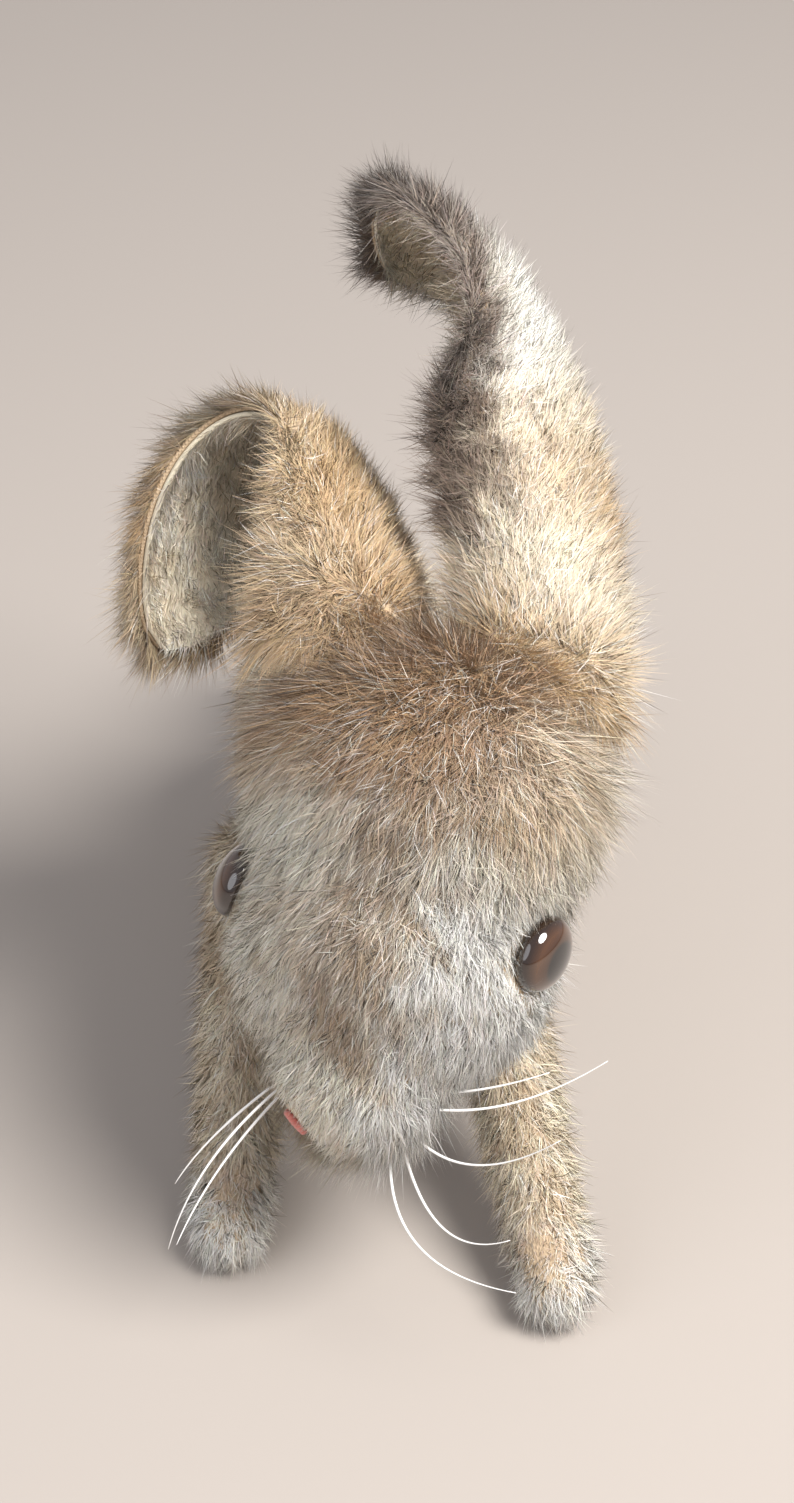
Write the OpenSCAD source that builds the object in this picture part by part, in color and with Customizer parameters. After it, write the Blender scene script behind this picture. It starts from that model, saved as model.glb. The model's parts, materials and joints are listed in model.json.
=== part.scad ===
// Small jointed mohair rabbit: sewn covers over firm stuffing, disc joints at the
// neck and the four legs, soft ears that fold at their sewn bases.
// The rabbit stands on its paws with its head hanging, facing -Y; its own left is +X.

/* [Trunk] */
// Half width of the trunk between the flat sides that carry the legs
trunk_half_w = 8; // [7.5:0.5:10]
// Radius of the trunk at the chest
chest_r = 12; // [11:0.5:14]
// Radius of the trunk at the rump
rump_r = 15; // [13:0.5:18]
// Distance from the shoulder joints back to the hip joints
trunk_length = 42; // [36:1:52]
// Height of the shoulder joints above the table
shoulder_z = 29; // [26:0.5:35]
// Height of the hip joints above the table
hip_z = 25; // [21:0.5:30]
// Radius of the round tail
tail_r = 6; // [4:0.5:9]

/* [Head] */
// Radius of the skull
skull_r = 17.5; // [15:0.5:20]
// Radius of the cheeks
cheek_r = 12.5; // [9:0.5:14]
// Radius of the muzzle
muzzle_r = 8.5; // [6:0.5:10]
// Distance from the skull's centre to the muzzle's centre
face_length = 27; // [21:1:32]
// Sideways distance between the cheeks' centres
cheek_span = 9; // [5:0.5:12]
// How far the resting head's middle stands to the left of the trunk's
head_shift = 6.5; // [0:0.5:8]
// Turn of the resting head towards its right, about its own length
head_turn = 24; // [0:1:30]
// Lean of the resting head to its left
head_lean = 18; // [0:1:25]
// Pitch of the face below level
head_pitch = 52; // [40:1:60]
// How far the skull's centre stands ahead of the shoulders
head_ahead = 23; // [21:0.5:26]
// How far the skull's centre stands above the shoulders
head_rise = 24; // [22:0.5:28]

/* [Eyes and face] */
// Diameter of the glass eyes
eye_d = 8.4; // [6:0.2:10]
// How far an eye's dome stands out of its seat
eye_dome = 2.6; // [1.5:0.1:3.5]
// Distance of the eyes ahead of the skull's centre, along the face
eye_forward = 11; // [6:0.5:13]
// Diameter of the eyes' wire shanks
shank_d = 0.7; // [0.4:0.1:1.2]
// Angle of an eye's outward look from the top of the head
eye_side = 76; // [65:1:85]
// Length of a shank
shank_length = 6; // [4:0.5:7]
// Width of the stitched nose
nose_w = 3.6; // [2:0.2:6]
// Length of the longest whisker
whisker_length = 20; // [12:1:26]
// Thickness of a whisker
whisker_d = 0.5; // [0.3:0.1:0.8]

/* [Ears] */
// Length of an ear from its base to its tip
ear_length = 62; // [50:1:75]
// Greatest flat width of an ear
ear_width = 27; // [20:1:32]
// Thickness of each of an ear's two layers
ear_layer = 0.7; // [0.5:0.1:1]

/* [Legs] */
// Radius of a foreleg at the shoulder
shoulder_r = 5.6; // [5.2:0.1:7]
// Radius of a foreleg along its length
foreleg_r = 5; // [4:0.1:6]
// Radius of a forepaw
forepaw_r = 4.6; // [4:0.1:6]
// How far ahead of its shoulder the left paw stands
left_reach = 40; // [28:1:42]
// How far ahead of its shoulder the right paw stands
right_reach = 31; // [24:1:38]
// How far the left paw stands out from its shoulder
left_spread = 9.5; // [0:0.5:12]
// How far the right paw stands out from its shoulder
right_spread = 3; // [-3:0.5:8]
// Radius of the thigh
thigh_r = 11; // [9:0.5:13]
// Length of a hind foot
foot_length = 30; // [24:1:38]
// Radius of a hind foot
foot_r = 4.2; // [3.5:0.1:5.5]
// Thickness of the thigh
thigh_t = 8; // [7:0.5:10]

/* [Joints] */
// Thickness of a sewn cover
wall = 1.2; // [0.8:0.1:1.6]
// Thickness of a joint disc
disc_t = 1.2; // [0.8:0.1:1.6]
// Radius of the neck discs
neck_disc_r = 7; // [5.5:0.5:8]
// Radius of the leg discs
leg_disc_r = 3; // [2.6:0.1:3.4]
// Radius of a cotter pin's shank
pin_r = 0.7; // [0.5:0.1:1]
// Radial play of a disc on its pin
pin_play = 0.05; // [0.02:0.01:0.1]
// Gap between two covers at a joint
joint_gap = 0.5; // [0.4:0.1:1]
// Thickness of a washer
washer_t = 0.4; // [0.3:0.1:0.6]
// Radius of a washer
washer_r = 2; // [1.6:0.1:2.4]

/* [Hidden] */

soft_fn = 24;             // facets of the soft shapes
round_fn = 48;            // facets of the hardware
fit = 0.15;               // play between a cover and its stuffing
touch = 0.05;             // play between faces that slide on each other
cut = 60;                 // size of the blocks that cut a shape flat
frame_shift = [-0.2, -5.8, 0];  // from the middle between the shoulders to the frame's origin
fur_mohair = "#c9b08c";
wool = "#e9e2d2";
board = "#8d7450";
steel = "#9a9a98";

// Places, in a frame whose origin is on the table below the middle of the shoulders
shoulder = [0, 0, shoulder_z];
hip = [0, trunk_length, hip_z];
belly_share = 0.43;       // where the belly's middle lies along the trunk
belly_at = [0, trunk_length * belly_share, (shoulder_z + hip_z) / 2];
belly_r = chest_r;
back_rise = 2;            // how far the middle of the back stands up
neck_lip = 0.6;           // how far the inside of the neck reaches past its disc
neck_collar = wall + neck_lip;  // how far the neck reaches past its disc
tail_rise = 4;            // height of the tail's middle over the hips
tail_sink = 0.2;          // share of the tail's radius that goes into the rump
nose_rise = 35;           // how far the nose sits above the muzzle's tip, in degrees
nose_turn = 68;           // the nose's turn about the face's axis, to its right, in degrees
thread_d = 0.9;
whiskers_a_side = 4;
whisker_bend = 26;        // radius of a whisker's droop
whisker_sweep = whisker_length / whisker_bend * 180 / PI;
pin_head_t = 0.7;
pin_head_r = 1.4;
stack_in = disc_t + washer_t + pin_head_t + 2 * touch;

// Head: a is the face's own length towards the muzzle
skull_at = shoulder + [head_shift, -head_ahead, head_rise];
neck_dir = unit(skull_at - shoulder);
skull_flat = skull_r - 4; // distance from the skull's centre to its flat neck face
neck_face = norm(skull_at - shoulder) - skull_flat - joint_gap;

function unit(v) = v / norm(v);
function yaw(v) = atan2(v[1], v[0]);
function tilt(v) = acos(v[2] / norm(v));

// Carries its children from +Z to the direction v, at the point p
module along(p, v) {
    translate(p) rotate([0, tilt(v), yaw(v)]) children();
}

module ball(p, r) {
    translate(p) sphere(r = r, $fn = soft_fn);
}

// ---------- disc joints: +Z runs out of the trunk, z = 0 is the trunk's outer face ----------

module trunk_disc(r) {
    color(board) translate([0, 0, -wall - disc_t]) difference() {
        cylinder(r = r, h = disc_t, $fn = round_fn);
        translate([0, 0, -1]) cylinder(r = pin_r, h = disc_t + 2, $fn = round_fn);
    }
}

module limb_disc(r) {
    color(board) translate([0, 0, joint_gap + wall]) difference() {
        cylinder(r = r, h = disc_t, $fn = round_fn);
        translate([0, 0, -1]) cylinder(r = pin_r + pin_play, h = disc_t + 2, $fn = round_fn);
    }
}

module washer_pair() {
    for (z = [-wall - disc_t - washer_t, joint_gap + wall + disc_t + touch])
        color(steel) translate([0, 0, z]) difference() {
            cylinder(r = washer_r, h = washer_t, $fn = round_fn);
            translate([0, 0, -1]) cylinder(r = pin_r, h = washer_t + 2, $fn = round_fn);
        }
}

module cotter_pin() {
    tail_z = -wall - disc_t - washer_t;
    head_z = joint_gap + wall + disc_t + touch + washer_t;
    color(steel) {
        translate([0, 0, tail_z]) cylinder(r = pin_r, h = head_z - tail_z, $fn = round_fn);
        translate([0, 0, head_z]) cylinder(r = pin_head_r, h = pin_head_t, $fn = round_fn);
        translate([0, 0, tail_z - pin_head_t]) cylinder(r = pin_head_r, h = pin_head_t, $fn = round_fn);
    }
}

// Hole for the pin through both covers
module pin_hole() {
    translate([0, 0, -wall - 1])
        cylinder(r = pin_r + pin_play, h = 2 * wall + joint_gap + 2, $fn = round_fn);
}

// Pockets that the discs, washers and pin ends take out of the stuffing
module trunk_pocket(r) {
    translate([0, 0, -wall - stack_in - touch])
        cylinder(r = r + fit, h = stack_in + wall, $fn = round_fn);
}

module limb_pocket(r) {
    translate([0, 0, joint_gap])
        cylinder(r = r + fit, h = wall + stack_in + touch, $fn = round_fn);
}

// ---------- trunk ----------

module trunk_shape(inset) {
    intersection() {
        hull() {
            ball(shoulder, chest_r - inset);
            ball((shoulder + hip) / 2 + [0, 0, back_rise], (chest_r + rump_r) / 2 - inset);
            ball(hip, rump_r - inset);
        }
        translate([-(trunk_half_w - inset), -cut, -cut])
            cube([2 * (trunk_half_w - inset), 3 * cut, 3 * cut]);
    }
    difference() {
        hull() {
            ball(shoulder, trunk_half_w - inset);
            along(shoulder, neck_dir) translate([0, 0, neck_face - inset - 1])
                cylinder(r = neck_disc_r + neck_collar - inset, h = 1, $fn = soft_fn);
        }
        // the neck stays between the forelegs up to their tops
        for (side = [-1, 1]) translate([side * (trunk_half_w - inset + cut / 2), 0, 0])
            cube([cut, cut, 2 * (shoulder_z + shoulder_r + joint_gap + inset)], center = true);
    }
    ball(belly_at, belly_r - inset);
}

module at_neck() {
    along(shoulder, neck_dir) translate([0, 0, neck_face]) children();
}

// side is 1 for the left, -1 for the right; +Z of the children points out of the trunk
module at_side(joint, side) {
    translate(joint + [side * trunk_half_w, 0, 0]) rotate([0, side * 90, 0]) children();
}

module trunk_joints_holes() {
    at_neck() pin_hole();
    for (side = [-1, 1]) {
        at_side(shoulder, side) pin_hole();
        at_side(hip, side) pin_hole();
    }
}

module body_cover() {
    color(fur_mohair) translate(frame_shift) difference() {
        trunk_shape(0);
        trunk_shape(wall);
        trunk_joints_holes();
    }
}

module body_stuffing() {
    color(wool) translate(frame_shift) difference() {
        trunk_shape(wall + fit);
        at_neck() trunk_pocket(neck_disc_r);
        for (side = [-1, 1]) {
            at_side(shoulder, side) trunk_pocket(leg_disc_r);
            at_side(hip, side) trunk_pocket(leg_disc_r);
        }
    }
}

tail_at = hip + [0, rump_r + tail_r * (1 - tail_sink), tail_rise];

module tail_cover() {
    color(fur_mohair) translate(frame_shift) difference() {
        ball(tail_at, tail_r);
        ball(tail_at, tail_r - wall);
        ball(hip, rump_r + touch);
    }
}

module tail_stuffing() {
    color(wool) translate(frame_shift) difference() {
        ball(tail_at, tail_r - wall - fit);
        ball(hip, rump_r + touch);
    }
}

// ---------- head: built level with the face towards -Y, then set in its resting place ----------

module head_place() {
    translate(skull_at) rotate([0, head_lean, 0]) rotate([head_pitch, 0, 0]) rotate([0, -head_turn, 0])
        children();
}

muzzle_at = [0, -face_length, 0];
cheek_share = 0.55;                // where the cheeks lie along the face
cheek_drop = 1.5;
brow_share = 0.5;                  // where the bridge of the nose lies along the face
brow_rise = 4;
cheek_at = [cheek_span / 2, -face_length * cheek_share, -cheek_drop];

module head_shape(inset) {
    hull() {
        ball([0, 0, 0], skull_r - inset);
        for (side = [-1, 1]) ball([side * cheek_at[0], cheek_at[1], cheek_at[2]], cheek_r - inset);
        ball(muzzle_at, muzzle_r - inset);
        ball([0, -face_length * brow_share, brow_rise], cheek_r - inset);
    }
}

// Keeps the part of the head in front of its flat neck face, in the trunk's frame
module ahead_of_neck(inset) {
    along(shoulder, neck_dir) translate([-cut, -cut, neck_face + joint_gap + inset])
        cube([2 * cut, 2 * cut, 2 * cut]);
}

module placed_head(inset) {
    intersection() {
        head_place() head_shape(inset);
        ahead_of_neck(inset);
    }
}

eye_depth = 0.9;                   // how far an eye's seat is let into the head
eye_out = skull_r - eye_depth;
eye_rise = 3;
eye_back = 10;                     // how far an eye looks back from square, in degrees
eye_room = 8;                      // height of the hole that clears an eye

// Carries its children to an eye's seat, +Z pointing out of the head
module at_eye(side) {
    head_place() translate([side * eye_out, -eye_forward, eye_rise]) rotate([0, side * eye_side, 0])
        rotate([side * eye_back, 0, 0]) children();
}

module eye_seat(side) {
    at_eye(side) cylinder(r = eye_d / 2 + touch, h = eye_room, $fn = round_fn);
}

module shank_hole(side) {
    at_eye(side) translate([0, 0, -shank_length])
        cylinder(r = shank_d / 2, h = shank_length + 1, $fn = round_fn);
}

module head_cover() {
    color(fur_mohair) translate(frame_shift) difference() {
        placed_head(0);
        placed_head(wall);
        at_neck() pin_hole();
        for (side = [-1, 1]) {
            eye_seat(side);
            shank_hole(side);
        }
    }
}

module head_stuffing() {
    color(wool) translate(frame_shift) difference() {
        placed_head(wall + fit);
        at_neck() limb_pocket(neck_disc_r);
        for (side = [-1, 1]) {
            eye_seat(side);
            shank_hole(side);
        }
    }
}

// Domed glass eye with a flat back
module eye(side) {
    dome_r = (pow(eye_d / 2, 2) + pow(eye_dome, 2)) / (2 * eye_dome);
    color("#3a1d0e") translate(frame_shift) at_eye(side) intersection() {
        translate([0, 0, eye_dome - dome_r]) sphere(r = dome_r, $fn = round_fn);
        cylinder(r = eye_d / 2, h = eye_dome + 1, $fn = round_fn);
    }
}

module eye_shank(side) {
    color(steel) translate(frame_shift) at_eye(side)
        translate([0, 0, -shank_length]) cylinder(r = shank_d / 2, h = shank_length, $fn = round_fn);
}

module left_eye() { eye(1); }
module right_eye() { eye(-1); }
module left_eye_shank() { eye_shank(1); }
module right_eye_shank() { eye_shank(-1); }

// Three short threads over the tip of the muzzle
module nose_stitching() {
    color("#b8352c") translate(frame_shift) difference() {
        head_place() rotate([0, -nose_turn, 0]) for (i = [-1:1])
            translate(muzzle_at + muzzle_r * [0, -cos(nose_rise), sin(nose_rise)])
                rotate([-nose_rise, 0, 0]) translate([-nose_w / 2, 0, i * thread_d])
                    rotate([0, 90, 0]) cylinder(r = thread_d / 2, h = nose_w, $fn = soft_fn);
        placed_head(-touch);
    }
}

whisker_seat = 0.75;      // where the whiskers leave the muzzle, as a share of its radius
whisker_step = 2;         // distance from one whisker to the next
whisker_fan = [[-20, 12], [-30, 14]];  // first angle and step of the fan, drooping and sideways

// One whisker lies in its own XZ plane: it leaves the origin along +X and droops
module whisker() {
    translate([0, 0, -whisker_bend]) rotate([90, 0, 0]) rotate([0, 0, 90 - whisker_sweep])
        rotate_extrude(angle = whisker_sweep, $fn = 96)
            translate([whisker_bend, 0]) circle(r = whisker_d / 2, $fn = 8);
}

function fan_angle(k, i) = whisker_fan[k][0] + whisker_fan[k][1] * i;

module whiskers(side) {
    color("#f4f2ee") translate(frame_shift) difference() {
        head_place() mirror([side < 0 ? 1 : 0, 0, 0]) for (i = [0:whiskers_a_side - 1])
            translate(muzzle_at + [muzzle_r * whisker_seat, 0, 0] + whisker_step * [0, i - 1, 1.5 - i])
                rotate([0, fan_angle(0, i), fan_angle(1, i)]) whisker();
        placed_head(-touch);
    }
}

module left_whiskers() { whiskers(1); }
module right_whiskers() { whiskers(-1); }

// ---------- ears: two thin layers that follow one curved leaf ----------

// The leaf runs from its sewn base to its tip, cups round its own middle line and twists about it.
// path: four guide points of the middle line; twist: three turns of the furry side, from facing
// forward to facing the ear's right; cup: half the angle that the leaf wraps, at its base and tip.
ear_rows = 20;
ear_cols = 8;
ear_stand = 2;            // clear height of an ear's base over the skull
ear_tilt = 35;            // the guides are steps [sideways, up, forward], tilted back by this angle
tip_blunt = 7;            // the higher, the blunter the tip

function laid(v) = [v[0], v[1] * sin(ear_tilt) - v[2] * cos(ear_tilt),
    v[1] * cos(ear_tilt) + v[2] * sin(ear_tilt)];
front = laid([0, 0, 1]);

// Half width of the leaf: a narrow base, a full middle and a blunt tip
function leaf(s) = ear_width / 2 * (0.55 + 0.45 * sin(180 * min(1, s * 0.85)))
    * sqrt(max(0, 1 - pow(s, tip_blunt))) + 0.5;

function mix(a, b, s) = a * (1 - s) + b * s;
function bend(p, s) = mix(mix(p[0], p[1], s), mix(p[1], p[2], s), s);

// Cubic curve through its first and last guide points, and its direction
function curve(p, s) = mix(bend([p[0], p[1], p[2]], s), bend([p[1], p[2], p[3]], s), s);
function curve_way(p, s) = unit(bend([p[1] - p[0], p[2] - p[1], p[3] - p[2]], s));

// Keeps a point clear of the skull, d further out
function off_skull(p, d) =
    skull_at + unit(p - skull_at) * max(norm(p - skull_at), skull_r + ear_stand + d);

// A point of the leaf: s along it, t across it from -1 to 1, d out of its middle face
function ear_point(path, twist, cup, s, t, d) =
    let (a = mix(cup[0], cup[1], s), r = leaf(s) / (a * PI / 180), way = curve_way(path, s),
         turn = bend(twist, s), fore = unit(front - (front * way) * way),
         m = cos(turn) * fore + sin(turn) * cross(way, fore), u = cross(way, m))
    off_skull(curve(path, s) + (r + d) * sin(a * t) * u + ((r + d) * cos(a * t) - r) * m, d);

module ear_layer_shape(path, twist, cup, low, high) {
    points = [for (d = [low, high]) for (i = [0:ear_rows]) for (j = [0:ear_cols])
        ear_point(path, twist, cup, i / ear_rows, 2 * j / ear_cols - 1, d)];
    function id(k, i, j) = (k * (ear_rows + 1) + i) * (ear_cols + 1) + j;
    function quad(a, b, c, d) = [[a, b, c], [a, c, d]];
    faces = [for (i = [0:ear_rows - 1]) for (j = [0:ear_cols - 1]) for (f = concat(
        quad(id(1, i, j), id(1, i + 1, j), id(1, i + 1, j + 1), id(1, i, j + 1)),
        quad(id(0, i, j), id(0, i, j + 1), id(0, i + 1, j + 1), id(0, i + 1, j)))) f];
    sides = [for (i = [0:ear_rows - 1]) for (f = concat(
        quad(id(0, i, 0), id(0, i + 1, 0), id(1, i + 1, 0), id(1, i, 0)),
        quad(id(0, i, ear_cols), id(1, i, ear_cols), id(1, i + 1, ear_cols), id(0, i + 1, ear_cols)))) f];
    ends = [for (j = [0:ear_cols - 1]) for (f = concat(
        quad(id(0, 0, j), id(1, 0, j), id(1, 0, j + 1), id(0, 0, j + 1)),
        quad(id(0, ear_rows, j), id(0, ear_rows, j + 1), id(1, ear_rows, j + 1), id(1, ear_rows, j)))) f];
    polyhedron(points, concat(faces, sides, ends));
}

// Guides of the two ears: steps from the base as shares of the ear's length
function ear_path(base, steps) =
    [for (p = concat([[0, 0, 0]], steps)) skull_at + base + ear_length * laid(p)];
left_path = ear_path([12.5, 4, 13], [[0.08, 0.39, -0.19], [0.05, 0.77, -0.13], [-0.27, 0.82, 0.065]]);
left_twist = [0, 60, 110];
left_cup = [60, 75];
right_path = ear_path([-8.5, 7, 15.5],
    [[0.176, 0.41, -0.203], [-0.184, 0.597, -0.25], [-0.31, 0.02, -0.15]]);
right_twist = [4, 138, 142];
right_cup = [40.5, 36];

module ear_part(path, twist, cup, low, high, tint) {
    color(tint) translate(frame_shift) ear_layer_shape(path, twist, cup, low, high);
}

module left_ear_back() {
    ear_part(left_path, left_twist, left_cup, touch, ear_layer, fur_mohair);
}

module left_ear_lining() {
    ear_part(left_path, left_twist, left_cup, -ear_layer, -touch, wool);
}

module right_ear_back() {
    ear_part(right_path, right_twist, right_cup, touch, ear_layer, fur_mohair);
}

module right_ear_lining() {
    ear_part(right_path, right_twist, right_cup, -ear_layer, -touch, wool);
}

// ---------- legs: shapes in the trunk's frame, cut flat where they meet the trunk ----------

module outside_trunk(side, inset) {
    x = trunk_half_w + joint_gap + inset;
    mirror([side < 0 ? 1 : 0, 0, 0]) translate([x, -2 * cut, -cut]) cube([cut, 4 * cut, 3 * cut]);
}

leg_proud = 0.6;          // share of the shoulder's radius from the flat face to its centre
toe_ahead = 0.7;          // how far the toe's centre lies ahead of the paw's, as a share of its radius
toe_share = 0.9;          // radius of the toe, as a share of the paw's
heel_back = 4;            // how far the heel lies behind the hip

// reach: how far ahead of the shoulder the paw stands; spread: how far out
module foreleg_shape(side, reach, spread, inset) {
    leg_x = trunk_half_w + joint_gap + shoulder_r * leg_proud;
    paw = [side * (leg_x + spread), -reach, forepaw_r];
    toe = paw + forepaw_r * [0, -toe_ahead, toe_share - 1];
    top = shoulder + [side * leg_x, 0, 0];
    intersection() {
        hull() {
            ball(top, shoulder_r - inset);
            ball(mix(top, paw, 0.5), foreleg_r - inset);
            ball(paw, forepaw_r - inset);
            ball(toe, forepaw_r * toe_share - inset);
        }
        outside_trunk(side, inset);
    }
}

module hind_leg_shape(side, inset) {
    thigh_x = trunk_half_w + joint_gap + thigh_t - thigh_r;
    heel = [side * (trunk_half_w + joint_gap + foot_r), trunk_length + heel_back, foot_r];
    intersection() {
        union() {
            hull() {
                ball(hip + [side * thigh_x, 0, 0], thigh_r - inset);
                ball(heel, foot_r - inset);
            }
            hull() {
                ball(heel, foot_r - inset);
                ball(heel + [0, -foot_length + 2 * foot_r, 0], foot_r - inset);
            }
        }
        outside_trunk(side, inset);
    }
}

module limb_cover(joint, side) {
    color(fur_mohair) translate(frame_shift) difference() {
        children(0);
        children(1);
        at_side(joint, side) pin_hole();
    }
}

module limb_stuffing(joint, side) {
    color(wool) translate(frame_shift) difference() {
        children(0);
        at_side(joint, side) limb_pocket(leg_disc_r);
    }
}

module left_foreleg_cover() {
    limb_cover(shoulder, 1) {
        foreleg_shape(1, left_reach, left_spread, 0);
        foreleg_shape(1, left_reach, left_spread, wall);
    }
}

module left_foreleg_stuffing() {
    limb_stuffing(shoulder, 1) foreleg_shape(1, left_reach, left_spread, wall + fit);
}

module right_foreleg_cover() {
    limb_cover(shoulder, -1) {
        foreleg_shape(-1, right_reach, right_spread, 0);
        foreleg_shape(-1, right_reach, right_spread, wall);
    }
}

module right_foreleg_stuffing() {
    limb_stuffing(shoulder, -1) foreleg_shape(-1, right_reach, right_spread, wall + fit);
}

module left_hind_leg_cover() {
    limb_cover(hip, 1) {
        hind_leg_shape(1, 0);
        hind_leg_shape(1, wall);
    }
}

module left_hind_leg_stuffing() {
    limb_stuffing(hip, 1) hind_leg_shape(1, wall + fit);
}

module right_hind_leg_cover() {
    limb_cover(hip, -1) {
        hind_leg_shape(-1, 0);
        hind_leg_shape(-1, wall);
    }
}

module right_hind_leg_stuffing() {
    limb_stuffing(hip, -1) hind_leg_shape(-1, wall + fit);
}

// ---------- hardware of the five joints ----------

module left_foreleg_disc() { translate(frame_shift) at_side(shoulder, 1) limb_disc(leg_disc_r); }
module left_shoulder_disc() { translate(frame_shift) at_side(shoulder, 1) trunk_disc(leg_disc_r); }
module left_shoulder_pin() { translate(frame_shift) at_side(shoulder, 1) cotter_pin(); }
module left_shoulder_washers() { translate(frame_shift) at_side(shoulder, 1) washer_pair(); }
module right_foreleg_disc() { translate(frame_shift) at_side(shoulder, -1) limb_disc(leg_disc_r); }
module right_shoulder_disc() { translate(frame_shift) at_side(shoulder, -1) trunk_disc(leg_disc_r); }
module right_shoulder_pin() { translate(frame_shift) at_side(shoulder, -1) cotter_pin(); }
module right_shoulder_washers() { translate(frame_shift) at_side(shoulder, -1) washer_pair(); }
module left_hind_leg_disc() { translate(frame_shift) at_side(hip, 1) limb_disc(leg_disc_r); }
module left_hip_disc() { translate(frame_shift) at_side(hip, 1) trunk_disc(leg_disc_r); }
module left_hip_pin() { translate(frame_shift) at_side(hip, 1) cotter_pin(); }
module left_hip_washers() { translate(frame_shift) at_side(hip, 1) washer_pair(); }
module right_hind_leg_disc() { translate(frame_shift) at_side(hip, -1) limb_disc(leg_disc_r); }
module right_hip_disc() { translate(frame_shift) at_side(hip, -1) trunk_disc(leg_disc_r); }
module right_hip_pin() { translate(frame_shift) at_side(hip, -1) cotter_pin(); }
module right_hip_washers() { translate(frame_shift) at_side(hip, -1) washer_pair(); }
module neck_head_disc() { translate(frame_shift) at_neck() limb_disc(neck_disc_r); }
module neck_body_disc() { translate(frame_shift) at_neck() trunk_disc(neck_disc_r); }
module neck_pin() { translate(frame_shift) at_neck() cotter_pin(); }
module neck_washers() { translate(frame_shift) at_neck() washer_pair(); }

body_cover();
body_stuffing();
tail_cover();
tail_stuffing();
head_cover();
head_stuffing();
left_eye();
right_eye();
left_eye_shank();
right_eye_shank();
nose_stitching();
left_whiskers();
right_whiskers();
left_ear_back();
left_ear_lining();
right_ear_back();
right_ear_lining();
neck_head_disc();
neck_body_disc();
neck_pin();
neck_washers();
left_foreleg_cover();
left_foreleg_stuffing();
left_foreleg_disc();
left_shoulder_disc();
left_shoulder_pin();
left_shoulder_washers();
right_foreleg_cover();
right_foreleg_stuffing();
right_foreleg_disc();
right_shoulder_disc();
right_shoulder_pin();
right_shoulder_washers();
left_hind_leg_cover();
left_hind_leg_stuffing();
left_hind_leg_disc();
left_hip_disc();
left_hip_pin();
left_hip_washers();
right_hind_leg_cover();
right_hind_leg_stuffing();
right_hind_leg_disc();
right_hip_disc();
right_hip_pin();
right_hip_washers();
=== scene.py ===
import json
import math

import bpy
import numpy as np
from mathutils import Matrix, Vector


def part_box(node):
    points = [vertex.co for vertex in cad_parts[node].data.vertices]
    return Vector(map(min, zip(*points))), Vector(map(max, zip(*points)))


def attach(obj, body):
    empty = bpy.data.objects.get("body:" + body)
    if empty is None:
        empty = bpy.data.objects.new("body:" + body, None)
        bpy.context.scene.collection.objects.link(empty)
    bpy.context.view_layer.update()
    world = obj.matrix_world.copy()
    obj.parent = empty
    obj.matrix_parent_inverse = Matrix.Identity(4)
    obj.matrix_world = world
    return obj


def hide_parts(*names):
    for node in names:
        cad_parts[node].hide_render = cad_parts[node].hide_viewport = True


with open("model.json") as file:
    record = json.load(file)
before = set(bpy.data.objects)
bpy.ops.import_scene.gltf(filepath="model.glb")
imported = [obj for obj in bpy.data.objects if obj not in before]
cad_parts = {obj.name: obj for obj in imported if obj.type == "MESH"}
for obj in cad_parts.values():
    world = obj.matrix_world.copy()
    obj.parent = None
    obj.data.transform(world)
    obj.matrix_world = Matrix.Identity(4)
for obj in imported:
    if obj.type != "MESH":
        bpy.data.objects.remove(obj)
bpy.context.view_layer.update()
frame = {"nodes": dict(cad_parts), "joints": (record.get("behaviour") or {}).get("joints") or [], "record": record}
mm = 0.001


def unit(v):
    v = np.asarray(v, float)
    return v / np.maximum(np.linalg.norm(v, axis=-1, keepdims=True), 1e-12)


def middleOf(node):
    low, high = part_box(node)
    return (np.array(low) + np.array(high)) / 2


def turn(axis, degrees):  # rotation matrix about the frame's X or Y
    c, s = math.cos(math.radians(degrees)), math.sin(math.radians(degrees))
    if axis == "x":
        return np.array([[1, 0, 0], [0, c, -s], [0, s, c]])
    return np.array([[c, 0, s], [0, 1, 0], [-s, 0, c]])


headPose = {"lean": 18, "pitch": 52, "turn": 24, "neckToSkull": 14 * mm, "gap": 0.5}

joints = {j["name"]: j for j in frame["joints"]}
shoulderAt = (middleOf("left_shoulder_disc") + middleOf("right_shoulder_disc")) / 2
hipAt = (middleOf("left_hip_disc") + middleOf("right_hip_disc")) / 2
neckAt = np.array(joints["neck_swivel"]["pos_m"], float)
neckWay = unit(joints["neck_swivel"]["axis"])
skullAt = neckAt + neckWay * headPose["neckToSkull"]
headTurn = turn("y", headPose["lean"]) @ turn("x", headPose["pitch"]) @ turn("y", -headPose["turn"])
sideWay, faceWay, topWay = headTurn[:, 0], -headTurn[:, 1], headTurn[:, 2]


def onHead(side, ahead, up):  # a place on the head, in mm from the skull's centre
    return skullAt + mm * (side * sideWay + ahead * faceWay + up * topWay)


class Sock:
    # wraps a socket, so that + - * and / on it add Math nodes

    def __init__(self, tree, socket):
        self.tree, self.socket = tree, socket

    def math(self, kind, other=None, flip=False):
        values = [self, other] if other is not None else [self]
        if flip:
            values.reverse()
        return self.tree.node("ShaderNodeMath", {"operation": kind}, dict(enumerate(values)))

    def __add__(self, other):
        return self.math("ADD", other)

    def __sub__(self, other):
        return self.math("SUBTRACT", other)

    def __rsub__(self, other):
        return self.math("SUBTRACT", other, True)

    def __mul__(self, other):
        return self.math("MULTIPLY", other)

    def __truediv__(self, other):
        return self.math("DIVIDE", other)

    __radd__, __rmul__ = __add__, __mul__


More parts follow.
